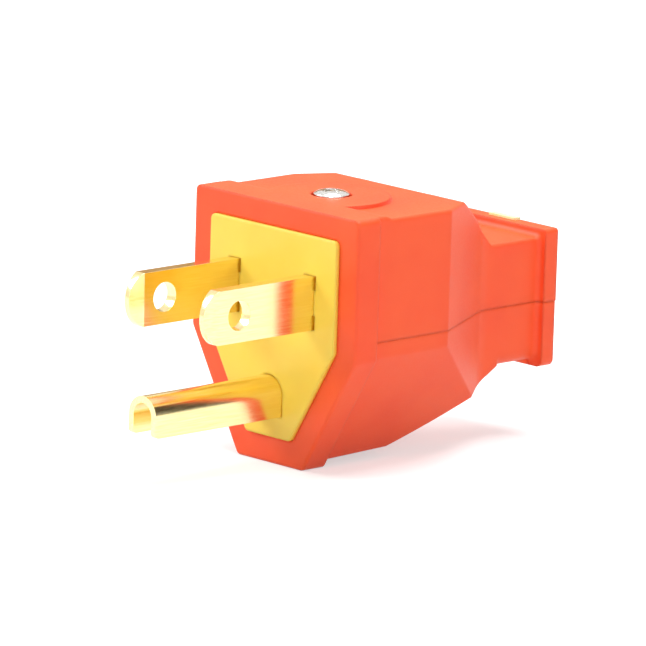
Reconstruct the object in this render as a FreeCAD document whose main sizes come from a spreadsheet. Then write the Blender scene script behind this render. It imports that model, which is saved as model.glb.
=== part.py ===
import FreeCAD, Part
import Sketcher
import math
import os
import re

# A rewireable three-pin plug with two flat blades and a U-shaped ground pin.
# Millimetres. +Z is up and the blades point along -Y. The origin lies in the
# front plane of the rim, half way between the two blades.

os.makedirs("parts", exist_ok=True)
doc = FreeCAD.newDocument("plug")
sheet = doc.addObject("Spreadsheet::Sheet", "dims")

# Driving dimensions. Names that end in place, front, back, top, low, corner
# or level are positions in the frame above; the others are lengths.
DIMENSIONS = {
    # How far a helper solid reaches into or past what it joins or cuts
    "helper_reach": 1.0,
    # Rim ring round the face
    "rim_top": 10.66,
    "rim_corner": -6.06,
    "rim_low": -20.25,
    "rim_foot": 5.53,
    "rim_back": 3.65,
    "rim_step": 0.4,
    "rim_corner_round": 0.7,
    "rim_edge_round": 0.3,
    "rim_back_round": 0.25,
    "opening_edge_round": 0.1,
    "ramp_front": 4.4,
    "ramp_back": 5.8,
    # Body behind the rim
    "wall_thickness": 2.0,
    "shoulder_front": 15.3,
    "shoulder_back": 26.4,
    "shoulder_hollow": 4.0,
    "neck_wall": 1.2,
    "crown_back": 19.7,
    "crown_slope_back": 28.0,
    "crown_slope_round": 34.0,
    "belly_front_level": -19.5,
    "belly_break": 13.4,
    "belly_break_level": -19.05,
    "belly_slope_back": 29.6,
    "belly_slope_round": 110.0,
    "body_edge_round": 0.35,
    # Neck and collar at the cord end
    "neck_half": 7.6,
    "neck_top": 3.6,
    "neck_low": -11.2,
    "neck_round": 1.2,
    "collar_front": 35.85,
    "collar_back": 37.9,
    "collar_side": 1.0,
    "collar_top": 4.66,
    "collar_low": -12.0,
    "collar_top_round": 0.45,
    "collar_low_round": 0.9,
    "collar_hollow": 0.7,
    "collar_overlap": 0.5,
    "flare_front": 33.3,
    "collar_offset": 0.12,
    # Seam between the two halves, and the lip that aligns them
    "seam_level": -4.1,
    "seam_gap": 0.03,
    "lip_height": 0.8,
    "lip_thickness": 0.8,
    "lip_gap": 0.12,
    "lip_root": 0.5,
    "lip_front": 4.65,
    "lip_back": 18.0,
    # Screw pad on top and the housing screw
    "pad_place": 8.3,
    "pad_radius": 7.3,
    "pad_top": 10.66,
    "screw_place": 8.75,
    "recess_radius": 2.45,
    "seat_level": 8.4,
    "boss_radius": 4.2,
    "screw_shank": 1.5,
    "screw_head": 2.1,
    "screw_head_height": 2.35,
    "screw_head_dome": 0.45,
    "screw_tip_level": -9.4,
    # Yellow face insert
    "face_half": 10.66,
    "face_top": 7.78,
    "face_corner": -5.43,
    "face_low": -17.01,
    "face_foot": 3.73,
    "face_round": 0.7,
    "face_front": -0.4,
    "face_edge_round": 0.1,
    "face_gap": 0.04,
    "plate_back": 3.3,
    "bead_front": 2.0,
    "bead_width": 0.4,
    "block_half": 4.2,
    "block_back": 13.4,
    "block_top": 6.4,
    "block_level": -5.0,
    "slot_gap": 0.25,
    "slot_fit": 0.03,
    "slot_depth": 0.4,
    "nub_half": 1.5,
    # Blades
    "blade_pitch": 12.7,
    "blade_thickness": 1.52,
    "blade_width": 6.35,
    "blade_length": 17.3,
    "blade_tip_ease": 0.325,
    "blade_hole": 1.75,
    "blade_hole_place": 12.05,
    "bevel_length": 2.1,
    "bevel_depth": 0.4,
    "tail_width": 8.0,
    "tail_back": 14.0,
    # Ground pin
    "pin_length": 20.2,
    "pin_half": 2.3,
    "pin_wall": 0.8,
    "pin_top": -9.65,
    "pin_low": -14.33,
    "pin_gap": 0.05,
    "pin_tip_round": 0.55,
    "strap_half": 4.6,
    "strap_back": 19.4,
    # Terminals
    "terminal_place": 9.5,
    "ground_place": 16.3,
    "terminal_shank": 1.75,
    "terminal_head": 2.9,
    "terminal_head_height": 1.9,
    "terminal_head_dome": 0.5,
    "terminal_room": 0.63,
    "terminal_tip": 1.0,
    "thread_gap": 0.1,
    "screw_point": 0.3,
    "drive_depth_share": 0.55,
    "drive_length_share": 0.58,
    "drive_width_share": 0.13,
    "clamp_side": 6.0,
    "clamp_thickness": 1.0,
    "washer_radius": 2.7,
    "washer_thickness": 0.8,
    "washer_split": 0.5,
    # Post and bush in the lower housing
    "post_radius": 3.0,
    "post_foot": 4.0,
    "post_gap": 0.3,
    "bush_radius": 2.1,
    "bush_length": 5.0,
    "bush_gap": 0.05,
    # Rib of the upper housing behind each blade tail
    "rib_inner": 4.8,
    "rib_outer": 8.6,
    "rib_thickness": 1.4,
    "rib_low": 0.8,
    # Cord gland in the neck
    "gland_radius": 5.4,
    "gland_bore": 4.3,
    "gland_front": 29.0,
    "gland_flange": 6.7,
    "gland_flange_depth": 0.9,
    "gland_key_half": 2.2,
    "gland_key_top": 4.93,
    "gland_gap": 0.1,
    "passage_radius": 4.7,
    # Cord clamp
    "jaw_place": 21.3,
    "jaw_depth": 2.4,
    "jaw_drop": 3.0,
    "jaw_grip": 4.2,
    "jaw_outer": 6.0,
    "jaw_gap": 0.25,
    "jaw_screw_inset": 2.3,
    "jaw_screw_shank": 1.0,
    "jaw_screw_head": 1.6,
    "jaw_screw_head_height": 1.3,
    "jaw_screw_head_dome": 0.4,
    "jaw_tip_gap": 0.3,
    "jaw_screw_reach": 5.0,
    "jaw_boss": 1.8,
}
for row, (alias, value) in enumerate(DIMENSIONS.items(), start=1):
    sheet.set(f"A{row}", alias)
    sheet.set(f"B{row}", str(value))
    sheet.setAlias(f"B{row}", alias)
doc.recompute()

# Places and sizes worked out from the driving dimensions.
CAVITY_BACK = "(shoulder_back - neck_wall)"
CORD_LEVEL = "seam_level"
LOWER_TOP = "(seam_level - seam_gap)"
BLADE_OUTER = "((blade_pitch + blade_thickness) / 2)"
TERMINAL_HEIGHT = "(clamp_thickness + washer_thickness + terminal_head_height)"
BODY_HALF = f"({BLADE_OUTER} + {TERMINAL_HEIGHT} + terminal_room + wall_thickness)"
RIM_HALF = f"({BODY_HALF} + rim_step)"
STRAP_LOW = "(pin_top - pin_wall)"
POST_TOP = "block_level"
BUSH_LOW = "(block_level - bush_length)"
BODY_TOP = "(rim_top - rim_step)"
NECK_BACK = "(collar_back - collar_overlap)"
COLLAR_HALF = "(neck_half + collar_side)"
BLADE_TIP_ROUND = "(blade_width / 2 + blade_tip_ease)"
JAW_SHARE = "((jaw_place - shoulder_front) / (shoulder_back - shoulder_front))"
JAW_WALL = f"({BODY_HALF} - ({BODY_HALF} - neck_half) * {JAW_SHARE} - wall_thickness)"
JAW_SCREW_PLACE = f"({JAW_WALL} - jaw_screw_inset)"
JAW_SIDES = (("left", f"-{JAW_SCREW_PLACE}"), ("right", JAW_SCREW_PLACE))
SHOULDER_LEAN = f"atan(({BODY_HALF} - neck_half) / (shoulder_back - shoulder_front))"
CROWN_LEAN = "atan((rim_top - rim_step - neck_top) / (crown_slope_back - crown_back))"
BELLY_LEAN = "atan((neck_low - belly_break_level) / (belly_slope_back - belly_break))"

NEAR = 1e-4
ORIGIN = FreeCAD.Vector(0, 0, 0)
ALONG = {
    "x": FreeCAD.Vector(1, 0, 0),
    "y": FreeCAD.Vector(0, 1, 0),
    "z": FreeCAD.Vector(0, 0, 1),
}
# Sketch axes for an outline that is extruded along x, y or z
SKETCH_TURN = {
    "x": FreeCAD.Rotation(ALONG["y"], ALONG["z"], ALONG["x"], "XYZ"),
    "y": FreeCAD.Rotation(ALONG["x"], ALONG["z"], -ALONG["y"], "XYZ"),
    "z": FreeCAD.Rotation(),
}
CYLINDER_TURN = {
    "x": FreeCAD.Rotation(ALONG["z"], ALONG["x"]),
    "y": FreeCAD.Rotation(ALONG["z"], ALONG["y"]),
    "z": FreeCAD.Rotation(),
}


def bound(text):
    """Expression text with each alias read from the sheet."""
    return re.sub(r"\b([a-z]+_[a-z_]+)\b", r"dims.\1", text)


def number(text):
    return float(sheet.evalExpression(bound(text)))


def drive(item, **properties):
    """Tie properties to expressions; a double underscore stands for a dot."""
    for name, text in properties.items():
        item.setExpression(name.replace("__", "."), bound(text))


def constrain(sketch, kind, places, text):
    index = sketch.addConstraint(Sketcher.Constraint(kind, *places, number(text)))
    sketch.setExpression(f"Constraints[{index}]", bound(text))


def draw_outline(sketch, points):
    """Closed outline. A point (u, v) starts a straight edge, and a point
    (u, v, radius) starts an arc that bulges to the right of its chord."""
    corners = [FreeCAD.Vector(number(point[0]), number(point[1]), 0) for point in points]
    ends = []
    for index, point in enumerate(points):
        start = corners[index]
        finish = corners[(index + 1) % len(points)]
        if len(point) == 2:
            sketch.addGeometry(Part.LineSegment(start, finish), False)
        else:
            chord = finish - start
            radius = number(point[2])
            rise = radius - math.sqrt(radius ** 2 - (chord.Length / 2) ** 2)
            side = FreeCAD.Vector(chord.y, -chord.x, 0).normalize()
            middle = (start + finish) / 2 + side * rise
            sketch.addGeometry(Part.Arc(start, middle, finish), False)
        swapped = sketch.getPoint(index, 1).distanceToPoint(start) > NEAR
        ends.append((2, 1) if swapped else (1, 2))
    for index, point in enumerate(points):
        following = (index + 1) % len(points)
        joint = Sketcher.Constraint("Coincident", index, ends[index][1], following, ends[following][0])
        sketch.addConstraint(joint)
        constrain(sketch, "DistanceX", (-1, 1, index, ends[index][0]), point[0])
        constrain(sketch, "DistanceY", (-1, 1, index, ends[index][0]), point[1])
        if len(point) == 3:
            constrain(sketch, "Radius", (index,), point[2])


def draw_circle(sketch, u, v, radius):
    centre = FreeCAD.Vector(number(u), number(v), 0)
    index = sketch.addGeometry(Part.Circle(centre, ALONG["z"], number(radius)), False)
    constrain(sketch, "DistanceX", (-1, 1, index, 3), u)
    constrain(sketch, "DistanceY", (-1, 1, index, 3), v)
    constrain(sketch, "Radius", (index,), radius)


def prism(name, axis, points, start, finish):
    """Outline extruded along an axis between two places on it."""
    sketch = doc.addObject("Sketcher::SketchObject", name + "_outline")
    sketch.Placement = FreeCAD.Placement(ORIGIN, SKETCH_TURN[axis])
    drive(sketch, **{f"Placement__Base__{axis}": start})
    draw_outline(sketch, points)
    solid = doc.addObject("Part::Extrusion", name)
    solid.Base = sketch
    solid.DirMode = "Custom"
    solid.Dir = ALONG[axis]
    solid.Solid = True
    drive(solid, LengthFwd=f"({finish}) - ({start})")
    return solid


def box(name, x, y, z):
    """Box from the lower and upper place on each axis."""
    solid = doc.addObject("Part::Box", name)
    drive(solid, Placement__Base__x=x[0], Placement__Base__y=y[0], Placement__Base__z=z[0])
    drive(solid, Length=f"({x[1]}) - ({x[0]})", Width=f"({y[1]}) - ({y[0]})", Height=f"({z[1]}) - ({z[0]})")
    return solid


def centred(half):
    return (f"-({half})", f"({half})")


def cylinder(name, axis, radius, base, length):
    solid = doc.addObject("Part::Cylinder", name)
    solid.Placement = FreeCAD.Placement(ORIGIN, CYLINDER_TURN[axis])
    drive(solid, Radius=radius, Height=length)
    drive(solid, Placement__Base__x=base[0], Placement__Base__y=base[1], Placement__Base__z=base[2])
    return solid


def fuse(name, *solids):
    joined = doc.addObject("Part::MultiFuse", name)
    joined.Shapes = list(solids)
    return joined


def common(name, *solids):
    shared = doc.addObject("Part::MultiCommon", name)
    shared.Shapes = list(solids)
    return shared


def cut(name, solid, tool):
    left = doc.addObject("Part::Cut", name)
    left.Base = solid
    left.Tool = tool
    return left


def rounded(name, solid, choose):
    """Fillet on each edge for which choose() gives a radius."""
    doc.recompute()
    edges = []
    for index, edge in enumerate(solid.Shape.Edges, start=1):
        radius = choose(edge)
        if radius:
            edges.append((index, number(radius), number(radius)))
    fillet = doc.addObject("Part::Fillet", name)
    fillet.Base = solid
    fillet.Edges = edges
    return fillet


def runs_along(edge, axis):
    if edge.Curve.TypeId != "Part::GeomLine":
        return False
    return abs(edge.tangentAt(edge.FirstParameter).dot(ALONG[axis])) > 0.999


def if_along(axis, radius):
    """Choice of the edges that run along one axis."""
    return lambda edge: radius if runs_along(edge, axis) else None


def lies_at(edge, axis, place):
    """True where the whole edge is in one plane across the axis."""
    bounds = edge.BoundBox
    low = getattr(bounds, axis.upper() + "Min")
    high = getattr(bounds, axis.upper() + "Max")
    return abs(low - place) < NEAR and abs(high - place) < NEAR


def hexagon(half, top, corner, low, foot, grow):
    """Outline of the face, grown outwards or, where grow is negative, inwards."""
    lean = f"atan(({half} - {foot}) / ({corner} - {low}))"
    wide = f"{half} + {grow}"
    turn = f"{corner} - ({grow}) * tan({lean} / 2)"
    narrow = f"{foot} + ({grow}) * tan((90 deg - {lean}) / 2)"
    high = f"{top} + {grow}"
    deep = f"{low} - ({grow})"
    return [
        (f"-({wide})", high),
        (f"-({wide})", turn),
        (f"-({narrow})", deep),
        (narrow, deep),
        (wide, turn),
        (wide, high),
    ]


def rim_hexagon(grow):
    return hexagon(RIM_HALF, "rim_top", "rim_corner", "rim_low", "rim_foot", grow)


def body_section(inset):
    """Front outline of the body. Its top edge lies above the body, whose side outline ends it."""
    grow = f"-(rim_step + {inset})"
    return hexagon(RIM_HALF, f"rim_top - ({grow})", "rim_corner", "rim_low", "rim_foot", grow)


def face_hexagon(grow):
    return hexagon("face_half", "face_top", "face_corner", "face_low", "face_foot", grow)


def softened_opening(name, shell):
    """Rounds the front edge of the rim's opening."""
    half = number("face_half + face_gap")
    low = number("face_low - face_gap")
    top = number("face_top + face_gap")

    def opening_edge(edge):
        bounds = edge.BoundBox
        across = max(abs(bounds.XMin), abs(bounds.XMax)) < half + NEAR
        between = bounds.ZMin > low - NEAR and bounds.ZMax < top + NEAR
        return "opening_edge_round" if lies_at(edge, "y", 0) and across and between else None

    return rounded(name, shell, opening_edge)


def body_form(name, inset, front, back, crown_front=()):
    """Body of the housing: what its front, plan and side outlines share.
    The inset moves all its walls inwards. crown_front gives the points of the
    side outline that replace the front end of its top."""
    section = prism(name + "_section", "y", body_section(inset), front, back)
    wide = f"{BODY_HALF} - {inset}"
    turn = f"shoulder_front - ({inset}) * tan({SHOULDER_LEAN} / 2)"
    narrow = f"neck_half - {inset}"
    neck = f"shoulder_back - ({inset}) * tan({SHOULDER_LEAN} / 2)"
    plan_points = [
        (f"-({wide})", front),
        (wide, front),
        (wide, turn),
        (narrow, neck),
        (narrow, back),
        (f"-({narrow})", back),
        (f"-({narrow})", neck),
        (f"-({wide})", turn),
    ]
    plan = prism(name + "_plan", "z", plan_points, "rim_low - helper_reach", "rim_top + helper_reach")
    high = f"rim_top - rim_step - {inset}"
    crown = f"crown_back - ({inset}) * tan({CROWN_LEAN} / 2)"
    crown_end = f"crown_slope_back - ({inset}) * tan({CROWN_LEAN} / 2)"
    belly = f"belly_break - ({inset}) * tan({BELLY_LEAN} / 2)"
    belly_end = f"belly_slope_back - ({inset}) * tan({BELLY_LEAN} / 2)"
    side_points = [
        (front, f"belly_front_level + {inset}"),
        (belly, f"belly_break_level + {inset}", "belly_slope_round"),
        (belly_end, f"neck_low + {inset}"),
        (back, f"neck_low + {inset}"),
        (back, f"neck_top - {inset}"),
        (crown_end, f"neck_top - {inset}", "crown_slope_round"),
        (crown, high),
        *(crown_front or [(front, high)]),
    ]
    side = prism(name + "_side", "x", side_points, *centred(f"{RIM_HALF} + helper_reach"))
    return section, plan, side


def round_concave_neck(name, plan):
    """Hollow curve where the shoulder runs into the neck, seen in plan."""
    neck_start = number("shoulder_back")

    def at_neck(edge):
        if runs_along(edge, "z") and lies_at(edge, "y", neck_start):
            return "shoulder_hollow"
        return None

    return rounded(name, plan, at_neck)


def housing_outside():
    """Outside of both halves together."""
    ramp_run = "(ramp_back - ramp_front)"
    ramp = [
        ("ramp_back", BODY_TOP, f"({ramp_run} ^ 2 + rim_step ^ 2) / (2 * rim_step)"),
        ("ramp_front", "rim_top"),
        ("0", "rim_top"),
    ]
    section, plan, side = body_form("body", "0", "0", NECK_BACK, ramp)
    plan_curved = round_concave_neck("body_plan_curved", plan)
    body = common("body_sharp", section, plan_curved, side)
    back = number(NECK_BACK)
    neck_low = number("neck_low")

    def outer_edge(edge):
        if lies_at(edge, "y", 0) or lies_at(edge, "y", back):
            return None
        if runs_along(edge, "y") and lies_at(edge, "z", neck_low):
            return "neck_round"
        return "body_edge_round"

    body_soft = rounded("body_soft", body, outer_edge)
    collar_sharp = box(
        "collar_sharp",
        centred(COLLAR_HALF),
        ("collar_front", "collar_back"),
        ("collar_low", "collar_top"),
    )
    collar_top = number("collar_top")

    def collar_edge(edge):
        if not runs_along(edge, "y"):
            return None
        return "collar_top_round" if lies_at(edge, "z", collar_top) else "collar_low_round"

    collar = rounded("collar", collar_sharp, collar_edge)
    flare_points = [
        ("flare_front", "neck_low"),
        ("collar_front", "collar_low"),
        (NECK_BACK, "collar_low"),
        (NECK_BACK, "neck_low + helper_reach"),
        ("flare_front", "neck_low + helper_reach"),
    ]
    flare_half = "neck_half - neck_round"
    flare = prism("flare", "x", flare_points, f"-({flare_half})", flare_half)
    neck_and_collar = fuse("neck_and_collar", body_soft, collar)
    collar_front = number("collar_front")
    neck_half = number("neck_half")
    neck_top = number("neck_top")

    def hollow_edge(edge):
        bounds = edge.BoundBox
        across = max(abs(bounds.XMin), abs(bounds.XMax)) < neck_half + NEAR
        between = bounds.ZMin > neck_low - NEAR and bounds.ZMax < neck_top + NEAR
        return "collar_hollow" if lies_at(edge, "y", collar_front) and across and between else None

    body_with_collar = rounded("body_with_collar", neck_and_collar, hollow_edge)
    under_top = f"{BODY_TOP} - helper_reach"
    pad_place = ("0", "pad_place", under_top)
    pad = cylinder("pad", "z", "pad_radius", pad_place, f"pad_top - ({under_top})")
    rim_sharp = prism("rim_sharp", "y", rim_hexagon("0"), "0", "rim_back")
    rim_turned = rounded("rim_turned", rim_sharp, if_along("y", "rim_corner_round"))
    rim_back = number("rim_back")

    def rim_edge(edge):
        if lies_at(edge, "y", 0):
            return "rim_edge_round"
        return "rim_back_round" if lies_at(edge, "y", rim_back) else None

    rim = rounded("rim", rim_turned, rim_edge)
    return fuse("housing_outside", rim, body_with_collar, flare, pad)


def housing_inside():
    """All the room inside both halves together."""
    cavity = common("cavity", *body_form("cavity_form", "wall_thickness", "rim_back", CAVITY_BACK))
    opening_sharp = prism("opening_sharp", "y", face_hexagon("face_gap"), "-helper_reach", "bead_front")
    opening = rounded("opening", opening_sharp, if_along("y", "face_round"))
    bead_room = prism("bead_room", "y", face_hexagon("bead_width + face_gap"), "bead_front", "rim_back")
    passage = cylinder(
        "passage",
        "y",
        "passage_radius",
        ("0", f"{CAVITY_BACK} - helper_reach", CORD_LEVEL),
        f"collar_back - {CAVITY_BACK}",
    )
    gland_room = cylinder(
        "gland_room", "y", "gland_radius + gland_gap", ("0", "gland_front", CORD_LEVEL), "collar_back"
    )
    flange_room = cylinder(
        "flange_room",
        "y",
        "gland_flange + gland_gap",
        ("0", "collar_back - gland_flange_depth", CORD_LEVEL),
        "collar_back",
    )
    key_room = box(
        "key_room",
        centred("gland_key_half + gland_gap"),
        ("collar_back - gland_flange_depth", "collar_back + helper_reach"),
        (CORD_LEVEL, "collar_top + helper_reach"),
    )
    return fuse("housing_inside", cavity, opening, bead_room, passage, gland_room, flange_room, key_room)


def upper_housing(shell, below):
    """Upper half with the whole rim, the screw boss, two ribs and two clamp bosses."""
    half = cut("upper_shell", shell, below)
    boss_height = f"{BODY_TOP} - block_top"
    boss = cylinder("upper_boss", "z", "boss_radius", ("0", "screw_place", "block_top"), boss_height)
    ribs = [
        box(
            f"upper_rib_{side}",
            places,
            ("tail_back", "tail_back + rib_thickness"),
            ("rib_low", f"{BODY_TOP} - helper_reach"),
        )
        for side, places in (
            ("left", ("-rib_outer", "-rib_inner")),
            ("right", ("rib_inner", "rib_outer")),
        )
    ]
    posts = [
        cylinder(
            f"upper_clamp_boss_{side}",
            "z",
            "jaw_boss",
            (place, "jaw_place", "seam_level"),
            "rim_top - seam_level",
        )
        for side, place in JAW_SIDES
    ]
    tall_posts = fuse("upper_clamp_posts", *posts)
    inner_posts = common("upper_clamp_bosses", tall_posts, doc.getObject("body_sharp"))
    solid = fuse("upper_solid", half, boss, *ribs, inner_posts)
    recess = cylinder("screw_recess", "z", "recess_radius", ("0", "screw_place", "seat_level"), "seat_level")
    screw_way = cylinder("screw_way", "z", "screw_shank + post_gap", ("0", "screw_place", "0"), "rim_top")
    pilots = [
        cylinder(
            f"clamp_pilot_{side}",
            "z",
            "jaw_screw_shank + bush_gap",
            (place, "jaw_place", "seam_level - helper_reach"),
            "jaw_screw_reach + jaw_tip_gap + helper_reach",
        )
        for side, place in JAW_SIDES
    ]
    return cut("upper_housing", solid, fuse("upper_holes", recess, screw_way, *pilots))


def lower_housing(shell, below):
    """Lower half with the post for the bush and the lip along the seam."""
    half = common("lower_half", shell, below)
    trim = box(
        "lower_trim",
        centred(f"{COLLAR_HALF} + helper_reach"),
        ("collar_back - collar_offset", "collar_back + helper_reach"),
        ("collar_low - helper_reach", "collar_top"),
    )
    half_trimmed = cut("lower_shell", half, trim)
    post_low = "belly_front_level + helper_reach"
    foot_height = f"{STRAP_LOW} - ({post_low})"
    foot = cylinder("post_base", "z", "post_foot", ("0", "screw_place", post_low), foot_height)
    post_height = f"{POST_TOP} - ({post_low})"
    post = cylinder("post", "z", "post_radius", ("0", "screw_place", post_low), post_height)
    lip_inset = "(wall_thickness + lip_gap)"
    inner_inset = "(wall_thickness + lip_gap + lip_thickness)"
    root_inset = "(wall_thickness - lip_root)"
    lip_end = "lip_back + helper_reach"
    lip_outer = common("lip_outer", *body_form("lip_outer_form", lip_inset, "lip_front", "lip_back"))
    lip_inner = common("lip_inner", *body_form("lip_inner_form", inner_inset, "rim_back", lip_end))
    ring = cut("lip_ring", lip_outer, lip_inner)
    lip_band = box(
        "lip_band",
        centred(RIM_HALF),
        ("lip_front", "lip_back"),
        ("seam_level - lip_height", "seam_level + lip_height"),
    )
    lip = common("lip_part", ring, lip_band)
    root_form = body_form("lip_root_form", root_inset, "lip_front", "lip_back")
    lip_root_outer = common("lip_root_outer", *root_form)
    root_ring = cut("lip_root_ring", lip_root_outer, lip_inner)
    root_band = box(
        "lip_root_band",
        centred(RIM_HALF),
        ("lip_front", "lip_back"),
        ("seam_level - lip_height", "seam_level"),
    )
    root = common("lip_root", root_ring, root_band)
    solid = fuse("lower_solid", half_trimmed, foot, post, lip, root)
    bore = cylinder(
        "bush_room",
        "z",
        "bush_radius + bush_gap",
        ("0", "screw_place", BUSH_LOW),
        "bush_length + helper_reach",
    )
    return cut("lower_housing", solid, bore)


def face_insert():
    """Yellow moulding: face plate with its bead, and the block between the terminals."""
    plate_sharp = prism("plate_sharp", "y", face_hexagon("0"), "face_front", "plate_back")
    plate_turned = rounded("plate_turned", plate_sharp, if_along("y", "face_round"))
    front = number("face_front")
    plate = rounded(
        "plate", plate_turned, lambda edge: "face_edge_round" if lies_at(edge, "y", front) else None
    )
    bead = prism("bead", "y", face_hexagon("bead_width"), "bead_front", "plate_back")
    block_reach = ("plate_back - helper_reach", "block_back")
    block = box("block", centred("block_half"), block_reach, ("block_level", "block_top"))
    saddle = box("saddle", centred("strap_half"), block_reach, ("pin_top", "block_level"))
    solid = fuse("insert_solid", plate, bead, block, saddle)
    holes = [
        cylinder(
            "block_way",
            "z",
            "screw_shank + post_gap",
            ("0", "screw_place", "block_level - helper_reach"),
            "block_top - block_level + 2 * helper_reach",
        ),
        cylinder(
            "saddle_way",
            "z",
            "post_radius + post_gap",
            ("0", "screw_place", "pin_top - helper_reach"),
            "block_level - pin_top + helper_reach",
        ),
    ]
    mouth = ("face_front - helper_reach", "slot_depth")
    through = ("face_front - helper_reach", "plate_back + helper_reach")
    nub_reach = ("face_front - 2 * helper_reach", "slot_depth + helper_reach")
    slot_height = centred("blade_width / 2 + slot_fit")
    nub_gap = "(blade_thickness / 2 + slot_fit)"
    wide_gap = "(blade_thickness / 2 + slot_gap)"
    for side, middle in (("left", "-blade_pitch / 2"), ("right", "blade_pitch / 2")):
        wide_places = (f"{middle} - {wide_gap}", f"{middle} + {wide_gap}")
        slot = box(f"slot_mouth_{side}", wide_places, mouth, slot_height)
        tight_places = (f"{middle} - {nub_gap}", f"{middle} + {nub_gap}")
        holes.append(box(f"slot_{side}", tight_places, through, slot_height))
        nub_places = (
            (f"{middle} - {wide_gap} - helper_reach", f"{middle} - {nub_gap}"),
            (f"{middle} + {nub_gap}", f"{middle} + {wide_gap} + helper_reach"),
        )
        nubs = [
            box(f"nub_{side}_{index}", places, nub_reach, centred("nub_half"))
            for index, places in enumerate(nub_places)
        ]
        holes.append(cut(f"slot_shape_{side}", slot, fuse(f"nubs_{side}", *nubs)))
    pin_mouth = "face_front - helper_reach"
    holes.append(pin_arch("pin_way", "pin_gap", "pin_low - pin_gap", pin_mouth, "plate_back"))
    return cut("face_insert", solid, fuse("insert_holes", *holes))


def pin_arch(name, grow, low, start, finish):
    """Bar with a half-round top: the outside of the ground pin, grown by a gap or wall."""
    half = f"pin_half + {grow}"
    top = f"pin_top + {grow}"
    points = [
        (f"-({half})", low),
        (half, low),
        (half, f"{top} - ({half})", half),
        ("0", top, half),
        (f"-({half})", f"{top} - ({half})"),
    ]
    return prism(name, "y", points, start, finish)


def new_body(name):
    return doc.addObject("PartDesign::Body", name)


def plane_sketch(body, name, role):
    sketch = body.newObject("Sketcher::SketchObject", name)
    plane = next(item for item in body.Origin.OriginFeatures if item.Role == role)
    sketch.AttachmentSupport = [(plane, "")]
    sketch.MapMode = "FlatFace"
    return sketch


def through_pocket(body, name, sketch):
    pocket = body.newObject("PartDesign::Pocket", name)
    pocket.Profile = sketch
    pocket.Type = "ThroughAll"
    pocket.Midplane = True
    body.Tip = pocket
    return pocket


def blade(name, place):
    """Brass stamping: blade with a bevelled round tip, and a wider tail with a tapped hole."""
    body = new_body(name)
    side = plane_sketch(body, name + "_side", "YZ_Plane")
    tip_depth = f"({BLADE_TIP_ROUND} - sqrt({BLADE_TIP_ROUND} ^ 2 - (blade_width / 2) ^ 2))"
    tip = f"-blade_length + {tip_depth}"
    points = [
        (tip, "blade_width / 2", BLADE_TIP_ROUND),
        ("-blade_length", "0", BLADE_TIP_ROUND),
        (tip, "-blade_width / 2"),
        ("plate_back", "-blade_width / 2"),
        ("plate_back", "-tail_width / 2"),
        ("tail_back", "-tail_width / 2"),
        ("tail_back", "tail_width / 2"),
        ("plate_back", "tail_width / 2"),
        ("plate_back", "blade_width / 2"),
    ]
    draw_outline(side, points)
    pad = body.newObject("PartDesign::Pad", name + "_pad")
    pad.Profile = side
    pad.Midplane = True
    drive(pad, Length="blade_thickness")
    holes = plane_sketch(body, name + "_holes", "YZ_Plane")
    draw_circle(holes, "-blade_hole_place", "0", "blade_hole")
    draw_circle(holes, "terminal_place", "0", "terminal_shank + thread_gap")
    through_pocket(body, name + "_hole_pocket", holes)
    for index, sign in enumerate(("", "-")):
        bevel = plane_sketch(body, f"{name}_bevel_{index}", "XY_Plane")
        skin = f"{sign}(blade_thickness / 2)"
        depth = f"{sign}(blade_thickness / 2 - bevel_depth)"
        past = f"{sign}(blade_thickness / 2 + helper_reach)"
        corner = [
            (skin, "-blade_length + bevel_length"),
            (depth, "-blade_length"),
            (depth, "-blade_length - helper_reach"),
            (past, "-blade_length - helper_reach"),
            (past, "-blade_length + bevel_length"),
        ]
        draw_outline(bevel, corner)
        through_pocket(body, f"{name}_bevel_pocket_{index}", bevel)
    drive(body, Placement__Base__x=place)
    return body


def ground_pin():
    """Brass strip: an upside-down U through the face, then a flat strap behind it."""
    outer = pin_arch("pin_outer", "0", "pin_low", "-pin_length", "plate_back + helper_reach")
    inner = pin_arch(
        "pin_inner",
        "(-pin_wall)",
        "pin_low - helper_reach",
        "-pin_length - helper_reach",
        "plate_back + 2 * helper_reach",
    )
    channel_sharp = cut("pin_channel_sharp", outer, inner)
    tip = number("-pin_length")
    low = number("pin_low")

    def tip_corner(edge):
        at_corner = runs_along(edge, "x") and lies_at(edge, "y", tip) and lies_at(edge, "z", low)
        return "pin_tip_round" if at_corner else None

    channel = rounded("pin_channel", channel_sharp, tip_corner)
    strap = box("pin_strap", centred("strap_half"), ("plate_back", "strap_back"), (STRAP_LOW, "pin_top"))
    solid = fuse("pin_solid", channel, strap)
    below = f"{STRAP_LOW} - helper_reach"
    through = "pin_wall + 2 * helper_reach"
    post_place = ("0", "screw_place", below)
    post_hole = cylinder("strap_post_hole", "z", "post_radius + post_gap", post_place, through)
    tapped_place = ("0", "ground_place", below)
    tapped = cylinder("strap_tapped_hole", "z", "terminal_shank + thread_gap", tapped_place, through)
    return cut("ground_pin", solid, fuse("strap_holes", post_hole, tapped))


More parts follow.
